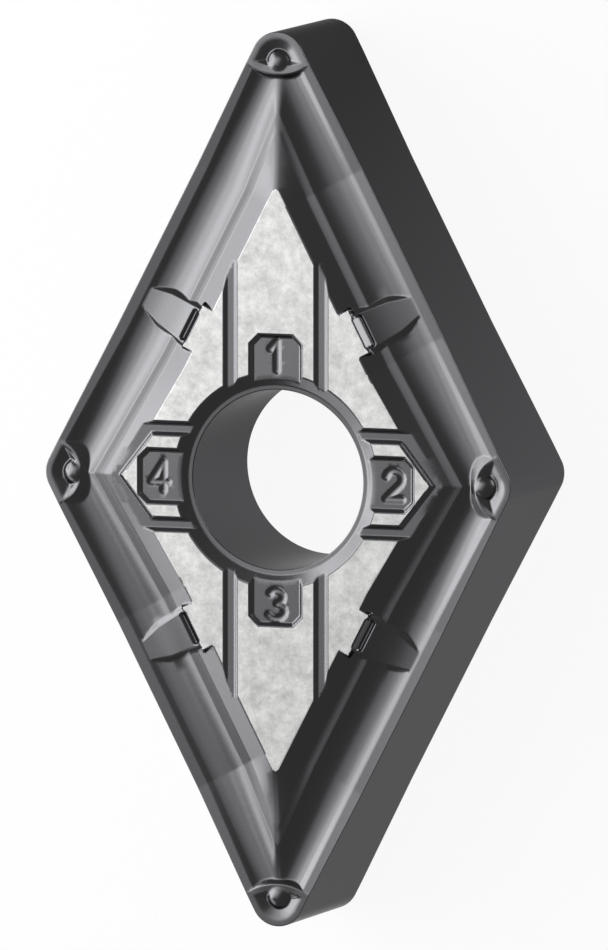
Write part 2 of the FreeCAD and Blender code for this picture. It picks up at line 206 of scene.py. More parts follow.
def smooth_max(one, other, blend):
    """The higher of two levels, with the crease between them filled round."""
    return np.maximum(one, other) + np.maximum(blend - np.abs(one - other), 0) ** 2 / (4 * blend)


def smooth_min(one, other, blend):
    """The lower of two levels, with the crease between them rounded off."""
    return -smooth_max(-one, -other, blend)


def carve_corner(level, corner, along, across, inset, side, forward):
    """Crescent lip, bowl and dome; side and forward point across and into the corner."""
    reach = np.hypot(side, forward - corner["middle"])
    swing = np.arctan2(side, corner["middle"] - forward)
    outside = np.where(swing < corner["spread"], reach - corner["crescent"],
                       np.maximum(reach - corner["crescent"],
                                  np.hypot(side - corner["wing"][0], forward - corner["wing"][1])))
    outside = np.where(reach < corner["crescent"], reach - corner["crescent"], outside)
    past = (along < corner["start"]) if corner["ahead"] < 0 else (along > corner["start"])
    outside = np.where(past & (across < corner["wing_land"]), -1, outside)
    wall = np.clip((inset - BOWL_LAND) / BOWL_WALL, 0, 1)
    top = -corner["tilt"] * np.clip(-outside, 0, corner["width"]) * wall
    lip = smooth_min(-corner["slope"] * outside, top, LIP_ROUND)
    level = np.where(outside < 0, lip, np.where(outside < LIP_REACH,
                                                smooth_max(level, lip, LIP_FOOT), level))
    nx, ny = corner["tip_line"]
    behind = forward - corner["back"]
    back = np.minimum((nx * (side - DOME_RADIUS) + ny * behind) / BOWL_BACK[0],
                      behind / BOWL_BACK[1])
    deep = smooth_min((inset - BOWL_LAND) / BOWL_WALL, back, BOWL_CREASE)
    deep = smooth_max(deep, 0, BOWL_RIM)
    level = level - BOWL_DEPTH * np.where(deep > 0.0, np.minimum(deep, BOWL_FULL), 0)
    ball = np.hypot(side, forward - corner["dome"])
    sphere = (DOME_RADIUS ** 2 + DOME_RISE ** 2) / (2 * DOME_RISE)
    cap = DOME_TOP - sphere + np.sqrt(np.maximum(sphere ** 2 - ball ** 2, 0))
    return np.where(ball < sphere, smooth_max(level, cap, DOME_FOOT), level)


# %% [markdown]
# ## Tongues
# In the middle of each edge a tongue climbs the groove to a tab of the seat, with a slot
# between them; it lifts a wide chip off the groove. Like the corners, it is a second
# level, and the higher of the two is kept, with a rounded crease.

# %% Tongue, tab and slot
# Distances across, from where the tongue starts to its end, and its half width there.
TONGUE_WIDTH = ((0.22, 1.05, 2.17), (0.24, 0.46, 0.56))
TONGUE_LOW, TONGUE_LOW_AT, TONGUE_CURVE = -0.235, 0.35, 0.105
TONGUE_FLANK, TONGUE_FOOT = 0.68, 0.012
TAB_SHIFT, TAB_HALF, TAB_FLANK, TAB_ACROSS = 0.065, 0.685, 2.28, (2.08, 3)
SLOT_ACROSS, SLOT_LEVEL = (1.82, 1.94, 1.97, 2.14), (0.02, -0.06, -0.06, SEAT_RISE)
SLOT_HALF, SLOT_FLANK = 0.45, 1.5
print("tongue", round(2 * max(TONGUE_WIDTH[1]), 2), "mm wide at its end")


def within(across, ends):
    """Whether a point lies between the first and the last of these distances."""
    return (across > ends[0]) & (across < ends[-1])


def carve_tongue(level, along, across):
    """Tongue up the middle of the groove, tab of the seat behind it and slot between."""
    aside = np.abs(along - TONGUE_ALONG)
    top = TONGUE_LOW + TONGUE_CURVE * (across - TONGUE_LOW_AT) ** 2
    tongue = top - np.maximum(0, aside - np.interp(across, *TONGUE_WIDTH)) * TONGUE_FLANK
    level = np.where(within(across, TONGUE_WIDTH[0]),
                     smooth_max(level, tongue, TONGUE_FOOT), level)
    past_tab = np.abs(along - TONGUE_ALONG + TAB_SHIFT) - TAB_HALF
    tab = SEAT_RISE - np.maximum(0, past_tab) * TAB_FLANK
    level = np.where(within(across, TAB_ACROSS), np.maximum(level, tab), level)
    slot = np.interp(across, SLOT_ACROSS, SLOT_LEVEL)
    slot = slot + np.maximum(0, aside - SLOT_HALF) * SLOT_FLANK
    return np.where(within(across, SLOT_ACROSS), np.minimum(level, slot), level)


# %% [markdown]
# ## Seat
# The insert rests on the raised middle. Channels and ledges split it into small pads that
# sit flat, pockets take the numbers, and a dished ring leads into the clamp pin's hole.
# All of them lie below the seat, so the lower of the two levels is kept.

# %% Channels, pockets and ring
CHANNEL, CHANNEL_LEVEL, CHANNEL_WALL = (1.27, 1.48), 0.115, math.tan(math.radians(60))
LEDGE_IN = ((3.80, CHANNEL[0]), (4.80, 0.0))
LEDGE_OUT = ((4.20, CHANNEL[1]), (5.60, 0.0))
POCKET_SIDE, POCKET_END, POCKET_CUT, POCKET_LEVEL = 0.70, 4.08, 4.56, 0.07
RING_RADII = (2.725, 3.08)
# Radii and levels of the ring; past the last radius it limits nothing.
RING = ((0, BORE, *RING_RADII, RING_RADII[1] + 0.001), (-0.03, -0.03, -0.02, SEAT_RISE, 9.0))
print("ring", RING_RADII, "mm")


def outside_wedge(x, y, flat, slant):
    """Distance outside the strip |y| < flat that a slanting end closes off."""
    (x0, y0), (x1, y1) = slant
    long = math.hypot(x1 - x0, y1 - y0)
    return np.maximum(y - flat, ((x - x0) * (y0 - y1) + (y - y0) * (x1 - x0)) / long)


def carve_seat(level, x, y):
    """Channels, ledges, pockets and the dished ring round the hole."""
    near, far = CHANNEL
    gutter = CHANNEL_LEVEL + np.maximum(0, np.maximum(near - x, x - far)) / CHANNEL_WALL
    level = np.where(y < HALF_LONG / 2, np.minimum(level, gutter), level)
    ledge = np.maximum(-outside_wedge(x, y, near, LEDGE_IN), outside_wedge(x, y, far, LEDGE_OUT))
    cut = (x + y - POCKET_CUT) / math.sqrt(2)
    side = np.maximum(np.maximum(y - POCKET_SIDE, x - POCKET_END), cut)
    end = np.maximum(np.maximum(x - POCKET_SIDE, y - POCKET_END), cut)
    for outside in (ledge, side, end):
        level = np.minimum(level, POCKET_LEVEL + np.maximum(0, outside))
    return np.minimum(level, np.interp(np.hypot(x, y), *RING))


# %% [markdown]
# ## Corner numbers
# A user has to know which corner is worn. The press tool leaves a plain number in each
# pocket. Text could be cut out of the mesh, but a press leaves a rounded groove, so each
# stroke is a line of points, and the level falls near it.

# %% Strokes of the numbers
def bow(cx, cy, rx, ry, start, end, steps=10):
    """Points of an elliptic arc, angles in degrees."""
    turns = np.radians(np.linspace(start, end, steps))
    return [(cx + rx * math.cos(a), cy + ry * math.sin(a)) for a in turns]


# Strokes of the corner numbers, in a box 0.6 wide and 1 high.
DIGITS = {
    1: [[(0.08, 0.74), (0.32, 1.0), (0.32, 0.0)]],
    2: [bow(0.30, 0.70, 0.30, 0.30, 165, -40) + [(0.0, 0.0), (0.60, 0.0)]],
    3: [bow(0.28, 0.76, 0.26, 0.24, 150, -80) + bow(0.28, 0.27, 0.32, 0.27, 75, -150)],
    4: [[(0.46, 0.0), (0.46, 1.0), (0.0, 0.30), (0.62, 0.30)]],
}
DIGIT_MIDDLE = (0.31, 0.5)
NUMBER_HIGH, STROKE, NUMBER_DEPTH, NUMBER_AT = 0.82, 0.13, 0.052, 3.56
NUMBER_PLACES = {1: (0.0, NUMBER_AT), 2: (NUMBER_AT, 0.0),
                 3: (0.0, -NUMBER_AT), 4: (-NUMBER_AT, 0.0)}
NUMBER_FAR, NUMBER_ASIDE = 4.3, 0.6


def number_strokes():
    """Every stroke as a run of points on the face."""
    runs = []
    for digit, (cx, cy) in NUMBER_PLACES.items():
        for stroke in DIGITS[digit]:
            runs.append([(cx + (u - DIGIT_MIDDLE[0]) * NUMBER_HIGH,
                          cy + (v - DIGIT_MIDDLE[1]) * NUMBER_HIGH) for u, v in stroke])
    return runs


STROKES = number_strokes()
print("strokes", len(STROKES))


def press_numbers(level, x, y):
    """Rounded grooves along the strokes; only points near them are measured."""
    close = (np.hypot(x, y) < NUMBER_FAR) & (np.minimum(abs(x), abs(y)) < NUMBER_ASIDE)
    px, py = x[close], y[close]
    nearest = np.full(px.shape, 9.0)
    for run in STROKES:
        for (ax, ay), (bx, by) in zip(run, run[1:]):
            dx, dy = bx - ax, by - ay
            t = np.clip(((px - ax) * dx + (py - ay) * dy) / (dx * dx + dy * dy), 0, 1)
            nearest = np.minimum(nearest, np.hypot(px - ax - t * dx, py - ay - t * dy))
    cut = np.zeros(level.shape)
    cut[close] = NUMBER_DEPTH * np.clip(1 - (nearest / STROKE) ** 2, 0, 1)
    return level - cut


# %% [markdown]
# ## The whole face
# Where the grooves of two edges meet, a crease runs down the long diagonal. Near it the
# groove is read a little further out, which rounds it, and most near the sharp tips.

# %% Height of the carved face
RIDGE, RIDGE_MORE, RIDGE_FROM, RIDGE_RUN = 0.02, 0.12, 8.0, 0.4


def sharp_height(x, y):
    """Height of the carved face with knife-sharp creases."""
    fx, fy = np.abs(x), np.abs(y)
    along, across = on_edge_grid(fx, fy)
    inset = inside_outline(fx, fy)
    round_off = RIDGE + RIDGE_MORE * np.clip((fy - RIDGE_FROM) / RIDGE_RUN, 0, 1)
    blended = np.where(fx < round_off, (fx ** 2 / round_off + round_off) / 2, fx)
    level = groove_level(*on_edge_grid(blended, fy))
    level = carve_corner(level, CORNERS["acute"], along, across, inset, fx, fy)
    level = carve_corner(level, CORNERS["blunt"], along, across, inset, fy, fx)
    level = carve_tongue(level, along, across)
    level = carve_seat(level, fx, fy)
    return EDGE + press_numbers(level, x, y)


# %% [markdown]
# ## Soft creases
# Pressed powder can't hold a knife-sharp crease, and the coating rounds it further. The
# height is therefore the mean over a small disc, which bends every crease and leaves
# flats and long curves as they are. A Bevel modifier would need clean edge loops along
# every crease, which this face doesn't have.

# %% Mean over a disc
SOFT = 0.030
DISC = [(0.0, 0.0)] + [(r * SOFT * math.cos(a), r * SOFT * math.sin(a))
                       for r, turn in ((0.5, 0.0), (0.95, 0.26))
                       for a in (turn + k * math.pi / 4 for k in range(8))]


def height(x, y):
    """Height of the finished face."""
    total = sum(sharp_height(x + dx, y + dy) for dx, dy in DISC)
    return total / len(DISC)


seat_here = height(np.array([1.8]), np.array([3.6]))[0]
print("seat", round(float(seat_here), 3), "mm above the middle")


def slope_normal(x, y):
    """Unit normals of the finished face."""
    step = 0.006
    nx = (height(x - step, y) - height(x + step, y)) / (2 * step)
    ny = (height(x, y - step) - height(x, y + step)) / (2 * step)
    normal = np.stack([nx, ny, np.ones_like(nx)], axis=1)
    return normal / np.linalg.norm(normal, axis=1)[:, None]


# %% [markdown]
# ## Rows of points
# A plain grid over the face would need millions of points to catch the creases. Points
# are laid in rows that follow the creases instead, so that light runs along them in
# clean lines, and a triangulation joins them later.

# %% Rows along the groove
CREASE = SOFT * 1.15
SIDES = (-CREASE, 0, CREASE)
DIP_ROW, LONG_ROW, SHORT_ROW = (0.1, 2.4), (8.3, 11.4), (4.7, 5.9)
DIP_STEP, LONG_STEP, SHORT_STEP = 0.12, 0.08, 0.06


def row_points(start, end, step):
    """Evenly spaced points of a straight run, ends included."""
    start, end = np.array(start, float), np.array(end, float)
    count = max(1, math.ceil(np.linalg.norm(end - start) / step))
    return start + (end - start) * np.linspace(0, 1, count + 1)[:, None]


def path_points(path, step):
    """Evenly spaced points down a path of straight runs."""
    runs = [row_points(start, end, step) for start, end in zip(path, path[1:])]
    return np.concatenate([run[(k > 0):] for k, run in enumerate(runs)])


def beside(path, shift):
    """A path of straight runs moved to its left, with mitred corners."""
    path = np.array(path, float)
    step = np.diff(path, axis=0)
    left = np.stack([-step[:, 1], step[:, 0]], axis=1) / np.linalg.norm(step, axis=1)[:, None]
    mean = np.vstack([left[:1], left]) + np.vstack([left, left[-1:]])
    return path + mean * (2 * shift / (mean ** 2).sum(axis=1))[:, None]


def edge_row(line, counts):
    """A row down the whole edge, with so many points on each run between stations."""
    ends = stations(line)
    along = np.concatenate([np.linspace(ends[i], ends[i + 1], n)[(i > 0):]
                            for i, n in enumerate(counts)])
    return np.stack(on_face(along, between(along, ends, line)), axis=1)


def groove_rows():
    """Rows at the breaks of the section, down the groove, across the two bends of the
    dip and along both diagonals."""
    rows = [edge_row(row[0] + shift, (20, 24, 26)) for row in ROWS[1:] for shift in SIDES]
    foot, rib = np.array(LAND) + WALL, np.array(RIB)
    rows += [edge_row(foot + t * (rib - foot), (16, 16, 18)) for t in np.linspace(0.1, 0.9, 9)]
    for place in DIP_PLACES[1:3]:
        for shift in (-CREASE, CREASE):
            ends = [on_face(place + shift, across) for across in DIP_ROW]
            rows.append(row_points(*ends, DIP_STEP))
    for shift in (0, CREASE, 2 * CREASE, 3 * CREASE):
        rows.append(row_points(*((shift, y) for y in LONG_ROW), LONG_STEP))
    for shift in (0, CREASE):
        rows.append(row_points(*((x, shift) for x in SHORT_ROW), SHORT_STEP))
    return rows


# %% Rows of the seat and the tongue
POCKET = ((2.5, POCKET_SIDE), (3.86, POCKET_SIDE), (POCKET_END, 0.48), (POCKET_END, 0.0))
# Each path with the places of its wall's foot and top beside it.
SEAT_LINES = [
    (POCKET, (0, 0.10)), ([point[::-1] for point in POCKET], (0, -0.10)),
    (((2.5, CHANNEL[0]),) + LEDGE_IN, (0, -0.10)), (((2.5, CHANNEL[1]),) + LEDGE_OUT, (0, 0.10)),
    (((CHANNEL[0], 2.4), (CHANNEL[0], 6.6)), (0, 0.095)),
    (((CHANNEL[1], 2.4), (CHANNEL[1], 6.6)), (0, -0.095)),
]
SLOT_ROWS = (1.79, 1.82, 1.85, 1.88, 1.91, 1.94, 1.97, 2.0, 2.05, 2.10, 2.14, 2.17)
TAB_ROWS = (-0.79, -0.75, -0.71, 0.58, 0.62, 0.66)
SLOT_SPAN, TAB_SPAN, TONGUE_SPAN = (-0.72, 0.60), (2.05, 2.55), (0.3, 2.1)
SEAT_STEP, TONGUE_STEP = 0.15, 0.08


def seat_rows():
    """Rows along the channels, ledges and pockets."""
    return [path_points(beside(path, wall + shift), SEAT_STEP)
            for path, walls in SEAT_LINES for wall in walls for shift in SIDES]


def tongue_rows():
    """Rows across the slot, up the sides of the tab and along the tongue."""
    rows = []
    for across in SLOT_ROWS:
        ends = [on_face(TONGUE_ALONG + aside, across) for aside in SLOT_SPAN]
        rows.append(row_points(*ends, TONGUE_STEP))
    for aside in TAB_ROWS:
        ends = [on_face(TONGUE_ALONG + aside, across) for across in TAB_SPAN]
        rows.append(row_points(*ends, TONGUE_STEP))
    across = np.linspace(*TONGUE_SPAN, 26)
    for shift in (*SIDES, 0.10, 0.18):
        for turn in (-1, 1):
            along = TONGUE_ALONG + turn * (np.interp(across, *TONGUE_WIDTH) + shift)
            rows.append(np.stack(on_face(along, across), axis=1))
    return rows


# %% Rows of the corners
FLANK_ROWS = (-0.05, 0, 0.05, 0.10, 0.16, 0.22)
DOME_ROWS = (0.10, 0.20, 0.28, 0.34, 0.40)


def arc_row(kind, radius, middle, swings):
    """A row on an arc round a place down the diagonal; the swing starts on the side of
    the insert's middle."""
    row = np.stack([radius * np.sin(swings), middle - radius * np.cos(swings)], axis=1)
    return row if kind == "acute" else row[:, ::-1]


def corner_rows():
    """Rows round each lip and each dome."""
    rows = []
    for kind, corner in CORNERS.items():
        for shift in (-corner["width"], -corner["width"] / 2, *FLANK_ROWS):
            swings = np.linspace(0, corner["spread"] * 0.97, 14)
            rows.append(arc_row(kind, corner["crescent"] + shift, corner["middle"], swings))
        for radius in DOME_ROWS:
            swings = np.linspace(0, math.pi, max(6, round(radius * 45)))
            rows.append(arc_row(kind, radius, corner["dome"], swings))
    return rows


def face_rows():
    """Rows of points of the first quarter, each a path of X and Y."""
    rows = groove_rows() + seat_rows() + tongue_rows() + corner_rows()
    return [row for row in rows if len(row) > 1]


print("rows", len(face_rows()))

# %% [markdown]
# ## Rims
# The face ends at two rims: the cutting edge, and the mouth of the hole. The rhombus is
# the same in all four quarters, so one quarter is laid out and mirrored into a loop.

# %% Outline and hole
QUARTERS = ((1, 1), (-1, 1), (-1, -1), (1, -1))


def outline_quarter():
    """Outline from the blunt tip to the acute tip: X, Y and the direction outwards."""
    blunt, acute = [[(cx + CORNER * math.cos(a), cy + CORNER * math.sin(a),
                      math.cos(a), math.sin(a)) for a in turns]
                    for cx, cy, turns in ((BLUNT_CENTRE, 0.0, np.linspace(0, LEAN, 13)),
                                          (0.0, ACUTE_CENTRE, np.linspace(LEAN, math.pi / 2, 22)))]
    start, end = np.array(blunt[-1][:2]), np.array(acute[0][:2])
    straight = [(*(start + (end - start) * t), COS, SIN) for t in np.linspace(0, 1, 81)[1:-1]]
    return blunt + straight + acute


def round_trip(quarter):
    """The closed loop that four mirrored quarters make, anticlockwise."""
    loop = []
    for sx, sy in QUARTERS:
        run = [(x * sx, y * sy, nx * sx, ny * sy) for x, y, nx, ny in quarter]
        loop += (run if sx * sy > 0 else run[::-1])[:-1]
    return np.array(loop)


def bore_quarter():
    """The hole's rim from the X axis to the Y axis, direction towards the hole's axis."""
    turns = np.linspace(0, math.pi / 2, 41)
    return [(BORE * math.cos(a), BORE * math.sin(a), -math.cos(a), -math.sin(a)) for a in turns]


OUTER, INNER = round_trip(outline_quarter()), round_trip(bore_quarter())
print("rims of", len(OUTER), "and", len(INNER), "points")

# %% [markdown]
# ## Mesh of one face
# Wherever the surface still bends by more than a few thousandths of a millimetre inside a
# triangle's side, a point is added, and so on a few times. Normals come from the height
# itself, so the light doesn't show the triangles.

# %% Points to start from
CLEAR, PATCH_CLEAR, PATCH_STEP = 0.02, 0.03, 0.09
CORNER_PATCHES = (((-0.9, 0.9), (11.3, 13.3)), ((5.7, 7.1), (-0.8, 0.8)))
RING_COUNT, STROKE_STEP = 160, 0.05


def closed_loop(first, count):
    """Edges that join so many points, from this one on, to a loop."""
    return [(first + k, first + (k + 1) % count) for k in range(count)]


def first_points():
    """Points and fixed edges of the rims, the rows, the ring, the corners and strokes."""
    rims = [loop[:, :2] - loop[:, 2:] * hone for loop, hone in ((OUTER, HONE), (INNER, BORE_HONE))]
    points = list(map(tuple, np.concatenate(rims)))
    edges = closed_loop(0, len(OUTER)) + closed_loop(len(OUTER), len(INNER))
    for row in face_rows():
        for quarter in QUARTERS:
            path = row * quarter
            clear = inside_outline(*np.abs(path).T) > HONE + CLEAR
            clear &= np.hypot(*path.T) > BORE + BORE_HONE + CLEAR
            first, spots = len(points), np.flatnonzero(clear)
            points += [tuple(path[k]) for k in spots]
            edges += [(first + k, first + k + 1) for k in range(len(spots) - 1)
                      if spots[k + 1] == spots[k] + 1]
    for radius in RING_RADII:
        for shift in SIDES:
            edges += closed_loop(len(points), RING_COUNT)
            points += [((radius + shift) * math.cos(a), (radius + shift) * math.sin(a))
                       for a in np.arange(RING_COUNT) * 2 * math.pi / RING_COUNT]
    for (x0, x1), (y0, y1) in CORNER_PATCHES:
        for gx in np.arange(x0, x1, PATCH_STEP):
            for gy in np.arange(y0, y1, PATCH_STEP):
                if inside_outline(np.array(abs(gx)), np.array(abs(gy))) > HONE + PATCH_CLEAR:
                    points += [(gx, gy), (-gx, -gy)]
    for run in STROKES:
        for start, end in zip(run, run[1:]):
            points += list(map(tuple, row_points(start, end, STROKE_STEP)))
    return points, edges


# %% Triangles where the face bends
ROUNDS = 7
# Largest fault of a side and the length under which it is left alone: in detail, elsewhere.
FAULTS, SHORTEST = (0.0012, 0.0025), (0.03, 0.045)
POCKET_ASIDE, POCKET_FROM, POCKET_TO = 0.55, 2.98, 4.12
ACUTE_DETAIL, BLUNT_DETAIL = ACUTE_CENTRE - 0.6, BLUNT_CENTRE - 0.5


def triangulate(points, edges):
    """Flat triangulation: points, triangles and, for each input point, its new place."""
    made = delaunay_2d_cdt([Vector(p) for p in points], edges, [], 0, 1e-5)
    place = np.full(len(points), -1)
    for new, olds in enumerate(made[3]):
        place[olds] = new
    return np.array([tuple(p) for p in made[0]]), np.array(made[2]), place


def near_detail(x, y):
    """Whether a point lies in a number pocket or in a corner."""
    fx, fy = np.abs(x), np.abs(y)
    near, far = np.minimum(fx, fy), np.maximum(fx, fy)
    pocket = (near < POCKET_ASIDE) & (far > POCKET_FROM) & (far < POCKET_TO)
    return pocket | (fy > ACUTE_DETAIL) | (fx > BLUNT_DETAIL)


def faulty_middles(flat, level, triangles, on_rim):
    """Middles of the sides that leave the surface, apart from the rims' own sides."""
    pairs = np.concatenate([triangles[:, [0, 1]], triangles[:, [1, 2]], triangles[:, [2, 0]]])
    pairs = np.unique(np.sort(pairs, axis=1), axis=0)
    pairs = pairs[~(on_rim[pairs[:, 0]] & on_rim[pairs[:, 1]])]
    start, end = flat[pairs[:, 0]], flat[pairs[:, 1]]
    middle = (start + end) / 2
    fault = np.abs(height(*middle.T) - (level[pairs[:, 0]] + level[pairs[:, 1]]) / 2)
    fine = near_detail(*middle.T)
    long = np.linalg.norm(start - end, axis=1) > np.where(fine, *SHORTEST)
    return middle[(fault > np.where(fine, *FAULTS)) & long]


def face_mesh():
    """Points, levels and triangles of the face, and where its rims' points are."""
    points, edges = first_points()
    for turn in range(ROUNDS):
        flat, triangles, place = triangulate(points, edges)
        on_rim = np.zeros(len(flat), bool)
        on_rim[place[:len(OUTER) + len(INNER)]] = True
        level = height(*flat.T)
        add = faulty_middles(flat, level, triangles, on_rim)
        print("face", turn, len(flat), len(triangles), len(add))
        if turn == ROUNDS - 1 or not len(add):
            break
        points += list(map(tuple, add))
    # Triangles outside the outline and in the hole go.
    centre = flat[triangles].mean(axis=1)
    keep = inside_outline(*np.abs(centre).T) > HONE + 1e-4
    keep &= np.hypot(*centre.T) > BORE + BORE_HONE * 0.9
    return flat, level, triangles[keep], place


# %% [markdown]
# ## Upper half
# The coating rounds the cutting edge a little, and the walls below are plain pressed
# faces. Quads in strips lead from each rim round the hone and straight down to the middle
# of the insert; the seat's triangles are marked, for the ground finish.

# %% Hones and walls
# Degrees round the hone; None is the foot of the wall.
HONE_TURNS = (30, 60, 90, None)
SEAT_DEPTH = 0.003


def half_insert():
    """Mesh of the upper half: carved face, honed rims and walls down to the middle."""
    flat, level, triangles, place = face_mesh()
    points = np.column_stack([flat, level])
    normals = slope_normal(*flat.T)
    faces = [tuple(t) for t in triangles]
    first = 0
    for loop, hone in ((OUTER, HONE), (INNER, BORE_HONE)):
        count = len(loop)
        rim = ring = place[first:first + count]
        first += count
        for angle in HONE_TURNS:
            turn = math.radians(angle or 90)
            outward = loop[:, :2] - loop[:, 2:] * hone * (1 - math.sin(turn))
            low = points[rim, 2] - hone * (1 - math.cos(turn)) if angle else np.zeros(count)
            tilt = normals[rim] * math.cos(turn)
            tilt[:, :2] += loop[:, 2:] * math.sin(turn)
            tilt /= np.linalg.norm(tilt, axis=1)[:, None]
            start = len(points)
            points = np.vstack([points, np.column_stack([outward, low])])
            normals = np.vstack([normals, tilt])
            fresh = np.arange(start, start + count)
            for k in range(count):
                n = (k + 1) % count
                quad = (ring[k], fresh[k], fresh[n], ring[n])
                faces.append(quad if loop is OUTER else quad[::-1])
            ring = fresh
    mesh = bpy.data.meshes.new("half_insert")
    mesh.from_pydata((points * MM).tolist(), [], [tuple(int(v) for v in f) for f in faces])
    lie = mesh.attributes.new("lie", "FLOAT_VECTOR", "POINT")
    lie.data.foreach_set("vector", normals.astype(np.float32).ravel())
    on_seat = points[:, 2] > SEAT - SEAT_DEPTH
    ground = mesh.attributes.new("ground", "BOOLEAN", "FACE")
    ground.data.foreach_set("value", [bool(on_seat[list(f)].all()) for f in faces])
    return mesh


half = bpy.data.objects.new("half_insert", half_insert())
bpy.context.scene.collection.objects.link(half)
print("half", len(half.data.vertices), "points", len(half.data.polygons), "faces")

# %% [markdown]
# ## Materials
# A thin dark ceramic coating lies over the carbide and shines like a dark metal, slightly
# grained by the sintered powder under it. The seat is ground after coating, so bare
# carbide shows there, bright and finely mottled. Both could be pictures, but noise on
# Object coordinates has no seams and needs no unwrapping.

# %% Colours and nodes
def linear(code):
    """Scene colour of a hex screen colour."""
    parts = [int(code[k:k + 2], 16) / 255 for k in (1, 3, 5)]
    return tuple(c / 12.92 if c < 0.04045 else ((c + 0.055) / 1.055) ** 2.4 for c in parts) + (1.0,)


def add_node(tree, kind, settings=None, links=None):
    """A node with its settings; links name an input and the output socket that feeds it."""
    node = tree.nodes.new(kind)
    for name, setting in (settings or {}).items():
        if name in node.inputs:
            node.inputs[name].default_value = setting
        else:
            setattr(node, name, setting)
    for name, source in (links or {}).items():
        tree.links.new(source, node.inputs[name])
    return node


def new_material(name):
    """An empty node material and its node tree."""
    material = bpy.data.materials.new(name)
    material.use_nodes = True
    material.node_tree.nodes.clear()
    return material, material.node_tree


# %% Finishes
# Widths, in metres, of the largest spots of each pattern.
GRAIN, CLOUD = 1 / 9000, 1 / 2300


def coating_material():
    """Dark ceramic coating on sintered carbide: sharp, dark reflections with a trace of
    grain. Real grains are about 0.001 mm; they are drawn 0.1 mm wide, to show at all."""
    material, tree = new_material("ceramic_coating")
    place = add_node(tree, "ShaderNodeTexCoord")
    grain = add_node(tree, "ShaderNodeTexNoise",
                     {"Scale": 1 / GRAIN, "Detail": 3.0, "Roughness": 0.6},
                     {"Vector": place.outputs["Object"]})
    bump = add_node(tree, "ShaderNodeBump", {"Strength": 0.06, "Distance": 0.00001},
                    {"Height": grain.outputs["Fac"]})
    shader = add_node(tree, "ShaderNodeBsdfPrincipled",
                      {"Base Color": linear("#646466"), "Metallic": 1.0, "Roughness": 0.25,
                       "Specular Tint": (0.42, 0.42, 0.42, 1.0)},
                      {"Normal": bump.outputs["Normal"]})
    add_node(tree, "ShaderNodeOutputMaterial", {}, {"Surface": shader.outputs["BSDF"]})
    return material


def ground_material():
    """Bare carbide, ground flat: bright, with soft mottling. The largest clouds are about
    0.4 mm wide, and each finer layer of the noise halves them."""
    material, tree = new_material("ground_carbide")
    place = add_node(tree, "ShaderNodeTexCoord")
    cloud = add_node(tree, "ShaderNodeTexNoise",
                     {"Scale": 1 / CLOUD, "Detail": 8.0, "Roughness": 0.8},
                     {"Vector": place.outputs["Object"]})
    tone = add_node(tree, "ShaderNodeValToRGB", {}, {"Fac": cloud.outputs["Fac"]})
    for stop, at, code in zip(tone.color_ramp.elements, (0.36, 0.64), ("#b2b2b1", "#dadad9")):
        stop.position, stop.color = at, linear(code)
    shader = add_node(tree, "ShaderNodeBsdfPrincipled", {"Metallic": 1.0, "Roughness": 0.50},
                      {"Base Color": tone.outputs["Color"]})
    add_node(tree, "ShaderNodeOutputMaterial", {}, {"Surface": shader.outputs["BSDF"]})
    return material


coating, ground = coating_material(), ground_material()
print("materials", coating.name, ground.name)

# %% [markdown]
# ## Both faces
# The insert can be turned over when one face is worn, so the press makes the same face
# twice. A small node tree turns the half over about Y and welds it on; turning, not
# mirroring, keeps the numbers of the lower face readable too.

# %% Node tree
def both_faces_tree():
    """Node group: a half insert in, the whole insert out."""
    tree = bpy.data.node_groups.new("both_faces", "GeometryNodeTree")
    tree.interface.new_socket("Geometry", in_out="INPUT", socket_type="NodeSocketGeometry")
    for name, kind in (("Turn", "NodeSocketFloat"), ("Weld", "NodeSocketFloat"),
                       ("Coating", "NodeSocketMaterial"), ("Seat", "NodeSocketMaterial")):
        tree.interface.new_socket(name, in_out="INPUT", socket_type=kind)
    tree.interface.new_socket("Geometry", in_out="OUTPUT", socket_type="NodeSocketGeometry")
    given = add_node(tree, "NodeGroupInput").outputs
    turn = add_node(tree, "ShaderNodeCombineXYZ", {}, {"Y": given["Turn"]})
    over = add_node(tree, "GeometryNodeTransform", {}, {"Geometry": given["Geometry"],
                                                         "Rotation": turn.outputs[0]})
    lie = add_node(tree, "GeometryNodeInputNamedAttribute",
                   {"data_type": "FLOAT_VECTOR", "Name": "lie"})
    turned = add_node(tree, "ShaderNodeVectorMath", {"operation": "MULTIPLY"},
                      {0: lie.outputs["Attribute"]})
    turned.inputs[1].default_value = (-1, 1, -1)
    stored = add_node(tree, "GeometryNodeStoreNamedAttribute",
                      {"data_type": "FLOAT_VECTOR", "domain": "POINT", "Name": "lie"},
                      {"Geometry": over.outputs["Geometry"], "Value": turned.outputs[0]})
    joined = add_node(tree, "GeometryNodeJoinGeometry")
    tree.links.new(given["Geometry"], joined.inputs[0])
    tree.links.new(stored.outputs["Geometry"], joined.inputs[0])
    welded = add_node(tree, "GeometryNodeMergeByDistance", {},
                      {"Geometry": joined.outputs[0], "Distance": given["Weld"]})
    real = add_node(tree, "GeometryNodeRealizeInstances", {}, {"Geometry": welded.outputs[0]})
    coated = add_node(tree, "GeometryNodeSetMaterial", {},
                      {"Geometry": real.outputs[0], "Material": given["Coating"]})
    mark = add_node(tree, "GeometryNodeInputNamedAttribute",
                    {"data_type": "BOOLEAN", "Name": "ground"})
    seated = add_node(tree, "GeometryNodeSetMaterial", {},
                      {"Geometry": coated.outputs[0], "Selection": mark.outputs["Attribute"],
                       "Material": given["Seat"]})
    add_node(tree, "NodeGroupOutput", {}, {0: seated.outputs[0]})
    return tree


